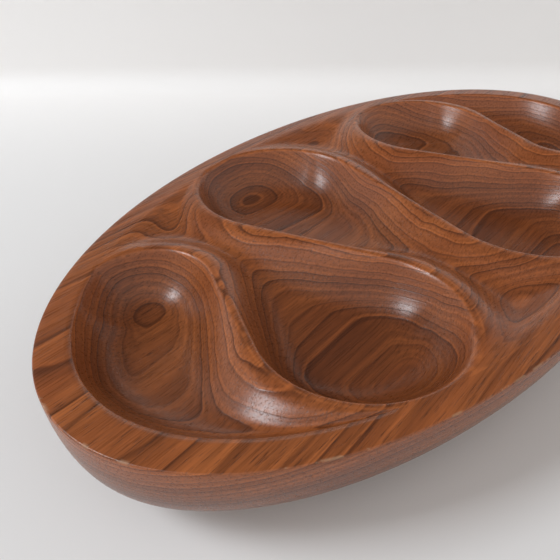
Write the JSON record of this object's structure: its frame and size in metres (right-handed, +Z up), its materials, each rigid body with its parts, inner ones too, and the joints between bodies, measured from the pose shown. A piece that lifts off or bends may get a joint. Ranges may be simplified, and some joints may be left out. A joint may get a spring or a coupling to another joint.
{
  "type": "lazy susan turntable",
  "caption": "Oval carved wooden serving tray with curved divided pockets, turning on a ball-bearing swivel over a round wooden base with rubber feet.",
  "frame": {"origin": "on the table under the middle of the object, at the height of the undersides of the feet", "axes": "+X along the tray's long axis, +Y across the tray, +Z up along the spin axis"},
  "size_m": [0.48, 0.266, 0.065],
  "materials": {
    "tray_teak": "oiled, satin",
    "base_teak": "oiled, satin",
    "plate_steel": "zinc plated",
    "screw_steel": "zinc plated",
    "ball_steel": "polished",
    "cage_brass": "satin",
    "foot_rubber": "matt"
  },
  "bodies": {
    "base": {"base_disc": "base_teak", "lower_plate": "plate_steel", "centre_rivet": "plate_steel", "lower_screw_1": "screw_steel", "lower_screw_2": "screw_steel", "lower_screw_3": "screw_steel", "lower_screw_4": "screw_steel", "foot_1": "foot_rubber", "foot_2": "foot_rubber", "foot_3": "foot_rubber", "foot_4": "foot_rubber", "foot_screw_1": "screw_steel", "foot_screw_2": "screw_steel", "foot_screw_3": "screw_steel", "foot_screw_4": "screw_steel"},
    "ball_train": {"ball_cage": "cage_brass", "bearing_balls": "ball_steel"},
    "turntable": {"tray": "tray_teak", "upper_plate": "plate_steel", "upper_screw_1": "screw_steel", "upper_screw_2": "screw_steel", "upper_screw_3": "screw_steel", "upper_screw_4": "screw_steel"}
  },
  "joints": [
    {"name": "tray_spin", "type": "hinge", "parent": "base", "child": "turntable", "pos_m": [0, 0, 0.019], "axis": [0, 0, 1], "continuous": true},
    {"name": "cage_spin", "type": "hinge", "parent": "base", "child": "ball_train", "pos_m": [0, 0, 0.019], "axis": [0, 0, 1], "continuous": true}
  ],
  "couplings": [
    {"joint": "cage_spin", "follows": "tray_spin", "ratio": 0.5}
  ]
}
